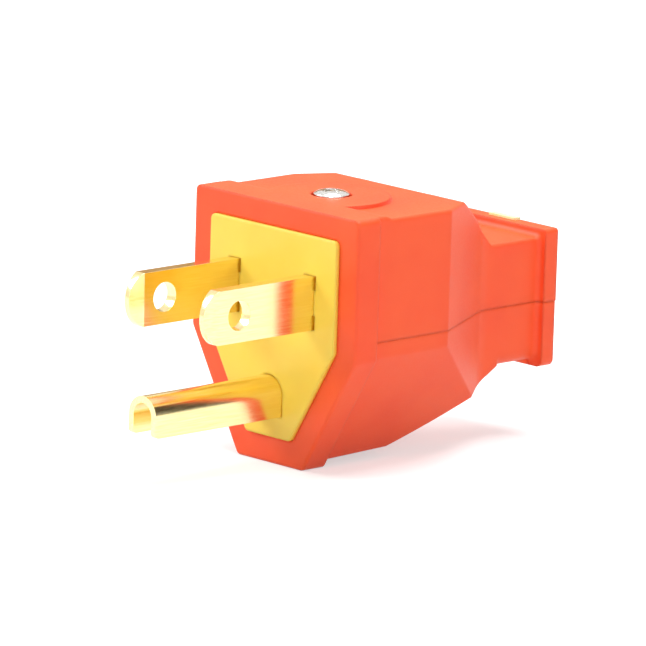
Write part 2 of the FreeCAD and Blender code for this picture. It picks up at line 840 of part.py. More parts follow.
def turned_screw(name, shank, length, head, height, dome, drive_width):
    """Screw with its head seated at z = 0, the head above and the shank below."""
    body = new_body(name)
    profile = plane_sketch(body, name + "_profile", "XZ_Plane")
    points = [
        ("0", f"-({length})"),
        (f"{shank} - screw_point", f"-({length})"),
        (shank, f"-({length}) + screw_point"),
        (shank, "0"),
        (head, "0"),
        (head, f"{height} - {dome}", f"(({head}) ^ 2 + ({dome}) ^ 2) / (2 * ({dome}))"),
        ("0", height),
    ]
    draw_outline(profile, points)
    turned = body.newObject("PartDesign::Revolution", name + "_turned")
    turned.Profile = profile
    turned.ReferenceAxis = (profile, ["V_Axis"])
    turned.Angle = 360
    body.Tip = turned
    for index, (long_side, short_side) in enumerate(drive_width):
        cross = plane_sketch(body, f"{name}_drive_{index}", "XY_Plane")
        drive(cross, AttachmentOffset__Base__z=height)
        corners = [
            (f"-({long_side})", f"-({short_side})"),
            (long_side, f"-({short_side})"),
            (long_side, short_side),
            (f"-({long_side})", short_side),
        ]
        draw_outline(cross, corners)
        pocket = body.newObject("PartDesign::Pocket", f"{name}_drive_pocket_{index}")
        pocket.Profile = cross
        drive(pocket, Length=f"({height}) * drive_depth_share")
        body.Tip = pocket
    return body


def cross_drive(head):
    """Half sizes of the two arms of a cross drive."""
    arm = f"{head} * drive_length_share"
    blade_half = f"{head} * drive_width_share"
    return [(arm, blade_half), (blade_half, arm)]


def wire_clamp(name):
    """Square pressure plate on z = 0 with a clearance hole."""
    body = new_body(name)
    square = plane_sketch(body, name + "_square", "XY_Plane")
    half = "clamp_side / 2"
    draw_outline(square, [(f"-{half}", f"-{half}"), (half, f"-{half}"), (half, half), (f"-{half}", half)])
    draw_circle(square, "0", "0", "terminal_shank + thread_gap")
    pad = body.newObject("PartDesign::Pad", name + "_pad")
    pad.Profile = square
    drive(pad, Length="clamp_thickness")
    body.Tip = pad
    return body


def lock_washer(name):
    """Split spring washer on z = 0."""
    body = new_body(name)
    ring = plane_sketch(body, name + "_ring", "XY_Plane")
    draw_circle(ring, "0", "0", "washer_radius")
    draw_circle(ring, "0", "0", "terminal_shank + thread_gap")
    pad = body.newObject("PartDesign::Pad", name + "_pad")
    pad.Profile = ring
    drive(pad, Length="washer_thickness")
    split = plane_sketch(body, name + "_split", "XY_Plane")
    half = "washer_split / 2"
    past = "washer_radius + helper_reach"
    corners = [("0", f"-{half}"), (past, f"-{half}"), (past, half), ("0", half)]
    draw_outline(split, corners)
    through_pocket(body, name + "_split_pocket", split)
    return body


def place_stack(body, turn, x, y, z):
    """Put a terminal part with its own z axis along the stack."""
    body.Placement = FreeCAD.Placement(ORIGIN, turn)
    drive(body, Placement__Base__x=x, Placement__Base__y=y, Placement__Base__z=z)


def terminal_stack(label, turn, seat, outward):
    """Pressure plate, lock washer and screw, outwards from the brass that they clamp.
    seat gives the place of the brass face, and outward says which way is out."""
    clamp = wire_clamp(f"{label}_wire_clamp")
    washer = lock_washer(f"{label}_lock_washer")
    depth = "pin_wall" if label == "ground" else "blade_thickness"
    screw = turned_screw(
        f"{label}_terminal_screw",
        "terminal_shank",
        f"clamp_thickness + washer_thickness + {depth} + terminal_tip",
        "terminal_head",
        "terminal_head_height",
        "terminal_head_dome",
        cross_drive("terminal_head"),
    )
    axis, sign = outward
    for part, lift in (
        (clamp, "0"),
        (washer, "clamp_thickness"),
        (screw, "clamp_thickness + washer_thickness"),
    ):
        places = dict(seat)
        places[axis] = f"{places[axis]} {sign} ({lift})"
        place_stack(part, turn, places["x"], places["y"], places["z"])
    return [clamp, washer, screw]


def housing_screw():
    screw = turned_screw(
        "housing_screw",
        "screw_shank",
        "seat_level - screw_tip_level",
        "screw_head",
        "screw_head_height + screw_head_dome",
        "screw_head_dome",
        cross_drive("screw_head"),
    )
    drive(screw, Placement__Base__y="screw_place", Placement__Base__z="seat_level")
    return screw


def housing_bush():
    outer = cylinder("bush_outer", "z", "bush_radius", ("0", "screw_place", BUSH_LOW), "bush_length")
    bore = cylinder(
        "bush_bore",
        "z",
        "screw_shank + thread_gap",
        ("0", "screw_place", f"{BUSH_LOW} - helper_reach"),
        "bush_length + 2 * helper_reach",
    )
    return cut("housing_bush", outer, bore)


def cord_gland():
    """Yellow bush in the cord entry, keyed into the top of the collar."""
    sleeve = cylinder(
        "gland_sleeve", "y", "gland_radius", ("0", "gland_front", CORD_LEVEL), "collar_back - gland_front"
    )
    flange = cylinder(
        "gland_disc",
        "y",
        "gland_flange",
        ("0", "collar_back - gland_flange_depth", CORD_LEVEL),
        "gland_flange_depth",
    )
    key = box(
        "gland_key",
        centred("gland_key_half"),
        ("collar_back - gland_flange_depth", "collar_back"),
        (CORD_LEVEL, "gland_key_top"),
    )
    bore_base = ("0", "gland_front - helper_reach", CORD_LEVEL)
    bore = cylinder("gland_way", "y", "gland_bore", bore_base, "collar_back")
    return cut("cord_gland", fuse("gland_solid", sleeve, flange, key), bore)


def cord_clamp_jaw():
    """Bridge that presses the cord up from below, shaped to the walls beside it."""
    front = "jaw_place - jaw_depth / 2"
    back = "jaw_place + jaw_depth / 2"
    bar = box("jaw_bar", centred(RIM_HALF), (front, back), ("seam_level - jaw_drop", "seam_level"))
    bridge = cylinder("jaw_bridge", "y", "jaw_outer", ("0", front, CORD_LEVEL), "jaw_depth")
    lower = box("jaw_lower", centred(RIM_HALF), (front, back), ("belly_front_level", "seam_level"))
    room = common("jaw_room", *body_form("jaw_form", "(wall_thickness + jaw_gap)", "rim_back", CAVITY_BACK))
    block = common("jaw_block", fuse("jaw_solid", bar, bridge), lower, room)
    grip_base = ("0", f"{front} - helper_reach", CORD_LEVEL)
    grip = cylinder("jaw_way", "y", "jaw_grip", grip_base, "2 * jaw_depth")
    tools = [grip]
    for side, place in JAW_SIDES:
        tools.append(
            cylinder(
                f"jaw_hole_{side}",
                "z",
                "jaw_screw_shank + thread_gap",
                (place, "jaw_place", "seam_level - jaw_drop - helper_reach"),
                "jaw_drop + 2 * helper_reach",
            )
        )
        tools.append(
            cylinder(
                f"jaw_spot_{side}",
                "z",
                "jaw_screw_head + thread_gap",
                (place, "jaw_place", "rim_low"),
                "seam_level - jaw_drop - rim_low",
            )
        )
    return cut("cord_clamp_jaw", block, fuse("jaw_tools", *tools))


def cord_clamp_screw(side, place):
    """Small screw that points up through the jaw, with its head below."""
    screw = turned_screw(
        f"cord_clamp_screw_{side}",
        "jaw_screw_shank",
        "jaw_drop + jaw_screw_reach",
        "jaw_screw_head",
        "jaw_screw_head_height",
        "jaw_screw_head_dome",
        cross_drive("jaw_screw_head"),
    )
    place_stack(screw, HEAD_DOWN, place, "jaw_place", "seam_level - jaw_drop")
    return screw


HEAD_LEFT = FreeCAD.Rotation(ALONG["z"], -ALONG["x"])
HEAD_RIGHT = FreeCAD.Rotation(ALONG["z"], ALONG["x"])
HEAD_DOWN = FreeCAD.Rotation(ALONG["x"], 180)

outside = housing_outside()
inside = housing_inside()
shell = softened_opening("housing_shell", cut("housing_shell_sharp", outside, inside))
below_seam, below_gap = (
    box(
        name,
        centred(f"{RIM_HALF} + helper_reach"),
        ("rim_back", "collar_back + helper_reach"),
        ("rim_low - helper_reach", level),
    )
    for name, level in (("below_seam", "seam_level"), ("below_gap", LOWER_TOP))
)
parts = [
    upper_housing(shell, below_seam),
    lower_housing(shell, below_gap),
    face_insert(),
    blade("hot_blade", "-blade_pitch / 2"),
    blade("neutral_blade", "blade_pitch / 2"),
    ground_pin(),
    housing_screw(),
    housing_bush(),
    cord_gland(),
    cord_clamp_jaw(),
    *(cord_clamp_screw(side, place) for side, place in JAW_SIDES),
]
parts += terminal_stack(
    "hot", HEAD_LEFT, {"x": f"-{BLADE_OUTER}", "y": "terminal_place", "z": "0"}, ("x", "-")
)
parts += terminal_stack(
    "neutral", HEAD_RIGHT, {"x": BLADE_OUTER, "y": "terminal_place", "z": "0"}, ("x", "+")
)
parts += terminal_stack("ground", HEAD_DOWN, {"x": "0", "y": "ground_place", "z": STRAP_LOW}, ("z", "-"))

doc.recompute()
failed = [item.Name for item in doc.Objects if "Invalid" in item.State or "Error" in item.State]
if failed:
    raise RuntimeError("These objects did not compute: " + ", ".join(failed))
for part in parts:
    part.Label = part.Name
    if part.Shape.isNull() or not part.Shape.isValid() or len(part.Shape.Solids) != 1:
        raise RuntimeError(f"{part.Name} is not one valid solid")
for part in parts:
    part.Shape.exportStep(os.path.join("parts", part.Name + ".step"))
    bounds = part.Shape.BoundBox
    print(part.Name, round(part.Shape.Volume, 2), bounds)
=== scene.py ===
import math

import bpy
from mathutils import Matrix, Vector


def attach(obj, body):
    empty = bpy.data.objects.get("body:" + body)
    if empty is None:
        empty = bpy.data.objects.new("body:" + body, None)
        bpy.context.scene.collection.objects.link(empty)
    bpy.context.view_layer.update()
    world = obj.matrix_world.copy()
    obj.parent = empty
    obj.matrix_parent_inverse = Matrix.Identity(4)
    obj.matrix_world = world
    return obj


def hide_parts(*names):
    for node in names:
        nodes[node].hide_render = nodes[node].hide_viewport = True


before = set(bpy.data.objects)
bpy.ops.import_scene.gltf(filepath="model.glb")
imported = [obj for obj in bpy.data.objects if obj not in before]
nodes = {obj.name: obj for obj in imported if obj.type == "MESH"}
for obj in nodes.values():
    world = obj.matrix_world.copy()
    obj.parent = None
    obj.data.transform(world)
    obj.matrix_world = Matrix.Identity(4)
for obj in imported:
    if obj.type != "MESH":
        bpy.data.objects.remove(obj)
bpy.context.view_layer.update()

# Rewireable plug with two flat blades and a U-shaped ground pin.
# The blades point along -Y and the origin is in the front plane of the rim.
mm = 0.001
bpy.context.scene.view_settings.view_transform = "Standard"
bpy.ops.object.select_all(action="DESELECT")
print("frame loaded:", len(nodes), "nodes")


# colour, shader nodes
def linearColor(hexText):
    channels = [int(hexText[place:place + 2], 16) / 255 for place in (1, 3, 5)]
    straight = [c / 12.92 if c <= 0.04045 else ((c + 0.055) / 1.055) ** 2.4 for c in channels]
    return (*straight, 1.0)


def addNode(tree, nodeType, values=None, links=None, **settings):
    node = tree.nodes.new(nodeType)
    for name, value in settings.items():
        setattr(node, name, value)
    for socket, value in (values or {}).items():
        node.inputs[socket].default_value = value
    for socket, source in (links or {}).items():
        tree.links.new(source, node.inputs[socket])
    return node


def newMaterial(name, shaderValues):
    material = bpy.data.materials.new(name)
    material.use_nodes = True
    tree = material.node_tree
    shader = tree.nodes["Principled BSDF"]
    for socket, value in shaderValues.items():
        shader.inputs[socket].default_value = value
    return material, tree, shader


def setStops(ramp, stops):
    for element, (place, color) in zip(ramp.elements, stops):
        element.position = place
        element.color = color


# Most of a noise texture's values lie between these two
noiseLow = 0.3
noiseHigh = 0.7

# Injection-moulded ABS from a spark-eroded mould: an even satin colour with a very
# fine grain, faint clouds where the melt flowed, and a soft sheen along its edges.
# The yellow of the insert lets in a little more light than the orange.
orangePlastic = {"color": "#FF5A26", "shade": "#FC5222", "roughness": 0.45, "glow": 0.15}
yellowPlastic = {"color": "#FFDB58", "shade": "#FFD44C", "roughness": 0.42, "glow": 0.22}
# Rubber of the cord bush: pale, softer in its shine, with the same moulded grain.
paleRubber = {"color": "#FFEDB4", "shade": "#FCE6A6", "roughness": 0.6, "glow": 0.3}
moulding = {
    "cloudMm": 9.0,
    "cloudStart": 0.35,
    "cloudEnd": 0.65,
    "grainMm": 0.3,
    "grainDepthMm": 0.012,
    "roughnessSpread": 0.04,
    "ior": 1.46,
    "glowMm": 1.8,
    "glowReach": (1.0, 0.45, 0.15),
    "edgeSheenMm": 0.55,
}


def mouldedMaterial(name, look):
    shaderValues = {
        "IOR": moulding["ior"],
        "Subsurface Weight": look["glow"],
        "Subsurface Scale": moulding["glowMm"] * mm,
        "Subsurface Radius": moulding["glowReach"],
    }
    material, tree, shader = newMaterial(name, shaderValues)
    place = addNode(tree, "ShaderNodeTexCoord").outputs["Object"]
    clouds = addNode(
        tree,
        "ShaderNodeTexNoise",
        {"Scale": 1 / (moulding["cloudMm"] * mm), "Detail": 2.0, "Roughness": 0.5},
        {"Vector": place},
    )
    tint = addNode(tree, "ShaderNodeValToRGB", links={"Fac": clouds.outputs["Fac"]})
    setStops(
        tint.color_ramp,
        [
            (moulding["cloudStart"], linearColor(look["color"])),
            (moulding["cloudEnd"], linearColor(look["shade"])),
        ],
    )
    tree.links.new(tint.outputs["Color"], shader.inputs["Base Color"])
    grain = addNode(
        tree,
        "ShaderNodeTexNoise",
        {"Scale": 1 / (moulding["grainMm"] * mm), "Detail": 4.0, "Roughness": 0.6},
        {"Vector": place},
    )
    gloss = addNode(
        tree,
        "ShaderNodeMapRange",
        {
            "From Min": noiseLow,
            "From Max": noiseHigh,
            "To Min": look["roughness"] - moulding["roughnessSpread"],
            "To Max": look["roughness"] + moulding["roughnessSpread"],
        },
        {"Value": grain.outputs["Fac"]},
    )
    tree.links.new(gloss.outputs["Result"], shader.inputs["Roughness"])
    softEdges = addNode(tree, "ShaderNodeBevel", {"Radius": moulding["edgeSheenMm"] * mm})
    bump = addNode(
        tree,
        "ShaderNodeBump",
        {"Strength": 1.0, "Distance": moulding["grainDepthMm"] * mm},
        {"Height": grain.outputs["Fac"], "Normal": softEdges.outputs["Normal"]},
    )
    tree.links.new(bump.outputs["Normal"], shader.inputs["Normal"])
    return material


# Polished strip brass, drawn along the blades: pale gold, bright, with fine lines
# along Y that break up the reflections a little.
stripBrass = {
    "color": "#FCECB6",
    "deep": "#F6E09C",
    "lineMm": 0.18,
    "lineStretch": 0.04,
    "lineDepthMm": 0.0015,
    "roughnessLow": 0.15,
    "roughnessHigh": 0.23,
}


def brassMaterial(name):
    material, tree, shader = newMaterial(name, {"Metallic": 1.0})
    place = addNode(tree, "ShaderNodeTexCoord").outputs["Object"]
    drawn = addNode(
        tree,
        "ShaderNodeMapping",
        {"Scale": (1.0, stripBrass["lineStretch"], 1.0)},
        {"Vector": place},
    )
    lines = addNode(
        tree,
        "ShaderNodeTexNoise",
        {"Scale": 1 / (stripBrass["lineMm"] * mm), "Detail": 3.0, "Roughness": 0.6},
        {"Vector": drawn.outputs["Vector"]},
    )
    tint = addNode(tree, "ShaderNodeValToRGB", links={"Fac": lines.outputs["Fac"]})
    setStops(
        tint.color_ramp,
        [(noiseLow, linearColor(stripBrass["deep"])), (noiseHigh, linearColor(stripBrass["color"]))],
    )
    tree.links.new(tint.outputs["Color"], shader.inputs["Base Color"])
    gloss = addNode(
        tree,
        "ShaderNodeMapRange",
        {
            "From Min": noiseLow,
            "From Max": noiseHigh,
            "To Min": stripBrass["roughnessLow"],
            "To Max": stripBrass["roughnessHigh"],
        },
        {"Value": lines.outputs["Fac"]},
    )
    tree.links.new(gloss.outputs["Result"], shader.inputs["Roughness"])
    bump = addNode(
        tree,
        "ShaderNodeBump",
        {"Strength": 1.0, "Distance": stripBrass["lineDepthMm"] * mm},
        {"Height": lines.outputs["Fac"]},
    )
    tree.links.new(bump.outputs["Normal"], shader.inputs["Normal"])
    return material


# Bright nickel plate on turned steel: a cool mirror with faint turning marks, and
# painted shade: a dark colour mixed in where the surface is closed in.
nickel = {
    "color": "#F0EEE9",
    "deep": "#DAD7D0",
    # painted shade for closed-in places: its colour, how far it looks, and where it is full and
    # where it stops
    "paintedShade": "#2E2A26",
    "paintedShadeMm": 0.6,
    "paintedShadeFull": 0.35,
    "paintedShadeNone": 0.7,
    "paintedShadeSamples": 8,
    "markMm": 0.25,
    "roughnessLow": 0.08,
    "roughnessHigh": 0.2,
}


def nickelMaterial(name):
    material, tree, shader = newMaterial(name, {"Metallic": 1.0})
    place = addNode(tree, "ShaderNodeTexCoord").outputs["Object"]
    marks = addNode(
        tree,
        "ShaderNodeTexNoise",
        {"Scale": 1 / (nickel["markMm"] * mm), "Detail": 3.0},
        {"Vector": place},
    )
    tint = addNode(tree, "ShaderNodeValToRGB", links={"Fac": marks.outputs["Fac"]})
    setStops(
        tint.color_ramp,
        [(noiseLow, linearColor(nickel["deep"])), (noiseHigh, linearColor(nickel["color"]))],
    )
    # painted shade: the colour turns dark where nearby faces close the surface in, as in the cross
    # recess
    opening = addNode(
        tree,
        "ShaderNodeAmbientOcclusion",
        {"Distance": nickel["paintedShadeMm"] * mm},
        samples=nickel["paintedShadeSamples"],
    )
    unshadedShare = addNode(
        tree,
        "ShaderNodeMapRange",
        {"From Min": nickel["paintedShadeFull"], "From Max": nickel["paintedShadeNone"]},
        {"Value": opening.outputs["AO"]},
    )
    withPaintedShade = addNode(
        tree,
        "ShaderNodeMixRGB",
        {"Color1": linearColor(nickel["paintedShade"])},
        {"Fac": unshadedShare.outputs["Result"], "Color2": tint.outputs["Color"]},
    )
    tree.links.new(withPaintedShade.outputs["Color"], shader.inputs["Base Color"])
    gloss = addNode(
        tree,
        "ShaderNodeMapRange",
        {"To Min": nickel["roughnessLow"], "To Max": nickel["roughnessHigh"]},
        {"Value": marks.outputs["Fac"]},
    )
    tree.links.new(gloss.outputs["Result"], shader.inputs["Roughness"])
    return material


housingPlastic = mouldedMaterial("moulded orange plastic", orangePlastic)
insertPlastic = mouldedMaterial("moulded yellow plastic", yellowPlastic)
glandRubber = mouldedMaterial("pale yellow rubber", paleRubber)
bladeBrass = brassMaterial("polished strip brass")
nickelPlate = nickelMaterial("bright nickel plate")


def dress(nodeName, material):
    slots = nodes[nodeName].data.materials
    slots.clear()
    slots.append(material)


# Every node starts as nickel plate, which the hidden screws, washers and clamps keep
for nodeName in nodes:
    dress(nodeName, nickelPlate)
for nodeName in ("face_insert", "cord_clamp_jaw"):
    dress(nodeName, insertPlastic)
dress("cord_gland", glandRubber)
for nodeName in ("upper_housing", "lower_housing"):
    dress(nodeName, housingPlastic)
dress("housing_bush", bladeBrass)
print("materials dressed")

# modelling helpers: how near counts as in place, and how square counts as facing a way
closeMm = 0.001
bisectReach = 1e-7
facing = 0.9
drill = {"sides": 64, "depthMm": 4}
smoothDegrees = 40


def activate(piece):
    bpy.ops.object.select_all(action="DESELECT")
    piece.select_set(True)
    bpy.context.view_layer.objects.active = piece


def pick(piece, kind, wanted):
    bpy.ops.object.mode_set(mode="OBJECT")
    mesh = piece.data
    for group in (mesh.vertices, mesh.edges, mesh.polygons):
        group.foreach_set("select", [False] * len(group))
    for item in getattr(mesh, kind):
        item.select = wanted(item)
    kinds = ("vertices", "edges", "polygons")
    bpy.context.tool_settings.mesh_select_mode = [kind == each for each in kinds]
    bpy.ops.object.mode_set(mode="EDIT")


def slide(x, y, z):
    return {"value": (x * mm, y * mm, z * mm)}


def keepBelow(place, normal, fill):
    bpy.ops.mesh.select_all(action="SELECT")
    bpy.ops.mesh.bisect(
        plane_co=Vector(place) * mm,
        plane_no=normal,
        use_fill=fill,
        clear_outer=True,
        threshold=bisectReach,
    )


def modify(piece, kind, **settings):
    modifier = piece.modifiers.new(kind.lower(), kind)
    for name, value in settings.items():
        setattr(modifier, name, value)
    activate(piece)
    bpy.ops.object.modifier_apply(modifier=modifier.name)


def cutWith(piece, cutter):
    modify(piece, "BOOLEAN", object=cutter, operation="DIFFERENCE", solver="EXACT")
    bpy.data.objects.remove(cutter)


def drillHole(piece, radiusMm, placeMm, rotation):
    bpy.ops.mesh.primitive_cylinder_add(
        vertices=drill["sides"],
        radius=radiusMm * mm,
        depth=drill["depthMm"] * mm,
        location=Vector(placeMm) * mm,
        rotation=rotation,
    )
    cutWith(piece, bpy.context.object)


def roundEdges(piece, widthMm, segments=3, angleDegrees=30):
    modify(
        piece,
        "BEVEL",
        width=widthMm * mm,
        segments=segments,
        limit_method="ANGLE",
        angle_limit=math.radians(angleDegrees),
    )
    activate(piece)
    bpy.ops.object.shade_smooth_by_angle(angle=math.radians(smoothDegrees))
    modify(piece, "WEIGHTED_NORMAL", keep_sharp=True)


def finishPiece(piece, name, material, nodeName):
    activate(piece)
    bpy.ops.object.transform_apply(location=True, rotation=True, scale=True)
    piece.name = name
    piece.data.materials.clear()
    piece.data.materials.append(material)
    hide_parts(nodeName)
    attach(piece, "root")


# Blade: stamped strip with a round bevelled tip, a hole, and a wider tapped tail
blade = {
    "lengthMm": 17.3,
    "widthMm": 6.35,
    "thicknessMm": 1.52,
    "tipRadiusMm": 3.5,
    "tipSides": 144,
    "holeRadiusMm": 1.75,
    "holePlaceMm": -12.05,
    "bevelLengthMm": 2.1,
    "bevelDepthMm": 0.4,
    "tailFrontMm": 3.3,
    "tailBackMm": 14.0,
    "tailWidthMm": 8.0,
    "tappedRadiusMm": 1.85,
    "tappedPlaceMm": 9.5,
    "pitchMm": 12.7,
    "rolledEdgeMm": 0.12,
}


def makeBlade():
    half = blade["widthMm"] / 2
    skin = blade["thicknessMm"] / 2
    centre = blade["tipRadiusMm"] - blade["lengthMm"]
    reach = math.sqrt(blade["tipRadiusMm"] ** 2 - half ** 2)
    acrossX = (0, math.pi / 2, 0)
    bpy.ops.mesh.primitive_circle_add(
        vertices=blade["tipSides"],
        radius=blade["tipRadiusMm"] * mm,
        location=(-skin * mm, centre * mm, 0),
        rotation=acrossX,
    )
    piece = bpy.context.object
    bpy.ops.object.transform_apply(location=True, rotation=True, scale=True)
    bpy.ops.object.mode_set(mode="EDIT")
    keepBelow((0, 0, half), (0, 0, 1), False)
    keepBelow((0, 0, -half), (0, 0, -1), False)
    keepBelow((0, centre, 0), (0, 1, 0), False)
    # the outline: both free ends run back, step out to the tail, and close behind it
    pick(piece, "vertices", lambda corner: abs(corner.co.z) > (half - closeMm) * mm)
    bpy.ops.mesh.extrude_vertices_move(
        TRANSFORM_OT_translate=slide(0, blade["tailFrontMm"] - centre + reach, 0)
    )
    bpy.ops.mesh.extrude_vertices_move(TRANSFORM_OT_translate=slide(0, 0, 0))
    bpy.ops.transform.resize(
        value=(1, 1, blade["tailWidthMm"] / blade["widthMm"]), center_override=(0, 0, 0)
    )
    bpy.ops.mesh.extrude_vertices_move(
        TRANSFORM_OT_translate=slide(0, blade["tailBackMm"] - blade["tailFrontMm"], 0)
    )
    bpy.ops.mesh.edge_face_add()
    bpy.ops.mesh.select_all(action="SELECT")
    bpy.ops.mesh.edge_face_add()
    bpy.ops.mesh.extrude_region_move(TRANSFORM_OT_translate=slide(2 * skin, 0, 0))
    bpy.ops.mesh.select_all(action="SELECT")
    bpy.ops.mesh.normals_make_consistent(inside=False)
    bevelStart = blade["bevelLengthMm"] - blade["lengthMm"]
    for side in (-1, 1):
        slope = Vector((side * blade["bevelLengthMm"], -blade["bevelDepthMm"], 0)).normalized()
        keepBelow((side * skin, bevelStart, 0), slope, True)
    bpy.ops.object.mode_set(mode="OBJECT")
    drillHole(piece, blade["holeRadiusMm"], (0, blade["holePlaceMm"], 0), acrossX)
    drillHole(piece, blade["tappedRadiusMm"], (0, blade["tappedPlaceMm"], 0), acrossX)
    # the line where the bevel starts stays crisp
    corners = piece.data.vertices
    pick(
        piece,
        "edges",
        lambda edge: all(
            abs(corners[index].co.y - bevelStart * mm) < closeMm * mm for index in edge.vertices
        ),
    )
    bpy.ops.mesh.mark_sharp()
    bpy.ops.object.mode_set(mode="OBJECT")
    roundEdges(piece, blade["rolledEdgeMm"])
    return piece


hotBlade = makeBlade()
neutralBlade = hotBlade.copy()
neutralBlade.data = hotBlade.data.copy()
bpy.context.collection.objects.link(neutralBlade)
hotBlade.location.x = -blade["pitchMm"] / 2 * mm
neutralBlade.location.x = blade["pitchMm"] / 2 * mm
finishPiece(hotBlade, "hotBlade", bladeBrass, "hot_blade")
finishPiece(neutralBlade, "neutralBlade", bladeBrass, "neutral_blade")
print("blades modelled")

# Ground pin: brass strip folded to an upside-down U, with a flat strap behind the face
groundPin = {
    "lengthMm": 20.2,
    "halfWidthMm": 2.3,
    "wallMm": 0.8,
    "topMm": -9.65,
    "lowMm": -14.33,
    "backMm": 4.3,
    "bendSides": 96,
    "tipRoundMm": 0.55,
    "tipSegments": 8,
    "strapHalfMm": 4.6,
    "strapFrontMm": 3.3,
    "strapBackMm": 19.4,
    "postRadiusMm": 3.3,
    "postPlaceMm": 8.75,
    "tappedRadiusMm": 1.85,
    "tappedPlaceMm": 16.3,
    "rolledEdgeMm": 0.15,
}


def makeGroundPin():
    wall = groundPin["wallMm"]
    radius = groundPin["halfWidthMm"] - wall / 2
    centre = groundPin["topMm"] - groundPin["halfWidthMm"]
    low = groundPin["lowMm"]
    tip = -groundPin["lengthMm"]
    bpy.ops.mesh.primitive_circle_add(
        vertices=groundPin["bendSides"],
        radius=radius * mm,
        location=(0, tip * mm, centre * mm),
        rotation=(math.pi / 2, 0, 0),
    )
    piece = bpy.context.object
    bpy.ops.object.transform_apply(location=True, rotation=True, scale=True)
    bpy.ops.object.mode_set(mode="EDIT")
    keepBelow((0, 0, centre), (0, 0, -1), False)
    pick(piece, "vertices", lambda corner: corner.co.z < (centre + closeMm) * mm)
    bpy.ops.mesh.extrude_vertices_move(TRANSFORM_OT_translate=slide(0, 0, low - centre))
    bpy.ops.mesh.select_all(action="SELECT")
    bpy.ops.mesh.extrude_region_move(
        TRANSFORM_OT_translate=slide(0, groundPin["backMm"] - tip, 0)
    )
    pick(
        piece,
        "vertices",
        lambda corner: corner.co.z < (low + closeMm) * mm and corner.co.y < (tip + closeMm) * mm,
    )
    bpy.ops.mesh.bevel(
        affect="VERTICES", offset=groundPin["tipRoundMm"] * mm, segments=groundPin["tipSegments"]
    )
    bpy.ops.mesh.select_all(action="SELECT")
    bpy.ops.mesh.normals_make_consistent(inside=False)
    bpy.ops.object.mode_set(mode="OBJECT")
    modify(piece, "SOLIDIFY", thickness=wall * mm, offset=0.0)
    strapLength = groundPin["strapBackMm"] - groundPin["strapFrontMm"]
    strapPlace = (groundPin["strapBackMm"] + groundPin["strapFrontMm"]) / 2
    bpy.ops.mesh.primitive_cube_add(
        size=1, location=(0, strapPlace * mm, (groundPin["topMm"] - wall / 2) * mm)
    )
    strap = bpy.context.object
    bpy.ops.transform.resize(
        value=(groundPin["strapHalfMm"] * 2 * mm, strapLength * mm, wall * mm)
    )
    for holeRadius, holePlace in (
        (groundPin["postRadiusMm"], groundPin["postPlaceMm"]),
        (groundPin["tappedRadiusMm"], groundPin["tappedPlaceMm"]),
    ):
        drillHole(strap, holeRadius, (0, holePlace, groundPin["topMm"]), (0, 0, 0))
    modify(piece, "BOOLEAN", object=strap, operation="UNION", solver="EXACT")
    bpy.data.objects.remove(strap)
    roundEdges(piece, groundPin["rolledEdgeMm"])
    return piece


finishPiece(makeGroundPin(), "groundPin", bladeBrass, "ground_pin")
print("ground pin modelled")

# Housing screw: pan head with a tapered cross recess
housingScrew = {
    "placeMm": 8.75,
    "seatMm": 8.4,
    "headRadiusMm": 2.1,
    "headHeightMm": 2.8,
    "headSides": 96,
    "domeMm": 0.45,
    "domeRings": 8,
    "domePower": 4,
    "domeShare": 0.96,
    "shankRadiusMm": 1.44,
    "tipMm": -9.4,
    "tipChamferMm": 0.3,
    "recessReachMm": 1.25,
    "recessHalfMm": 0.3,
    "recessDepthMm": 1.5,
    "recessTaper": 0.45,
    "cutterRiseMm": 0.2,
    "rolledEdgeMm": 0.04,
}


def makeCrossCutter():
    half = housingScrew["recessHalfMm"]
    place = housingScrew["placeMm"]
    top = housingScrew["seatMm"] + housingScrew["headHeightMm"]
    bpy.ops.mesh.primitive_cube_add(
        size=2 * half * mm,
        location=(0, place * mm, (top - half + housingScrew["cutterRiseMm"]) * mm),
    )
    cutter = bpy.context.object
    bpy.ops.object.transform_apply(location=True, rotation=True, scale=True)
    arm = housingScrew["recessReachMm"] - half
    for x, y in ((1, 0), (-1, 0), (0, 1), (0, -1)):
        # the arms along X have faces that point along Y, so only the middle one counts
        pick(
            cutter,
            "polygons",
            lambda face: face.normal.x * x + face.normal.y * y > facing
            and abs(face.center.x * y) < half * mm,
        )
        bpy.ops.mesh.extrude_region_move(TRANSFORM_OT_translate=slide(x * arm, y * arm, 0))
    pick(cutter, "polygons", lambda face: face.normal.z < -facing)
    bpy.ops.mesh.extrude_region_move(
        TRANSFORM_OT_translate=slide(0, 0, -housingScrew["recessDepthMm"])
    )
    shrink = housingScrew["recessTaper"]
    bpy.ops.transform.resize(value=(shrink, shrink, 1), center_override=(0, place * mm, 0))
    bpy.ops.object.mode_set(mode="OBJECT")
    return cutter


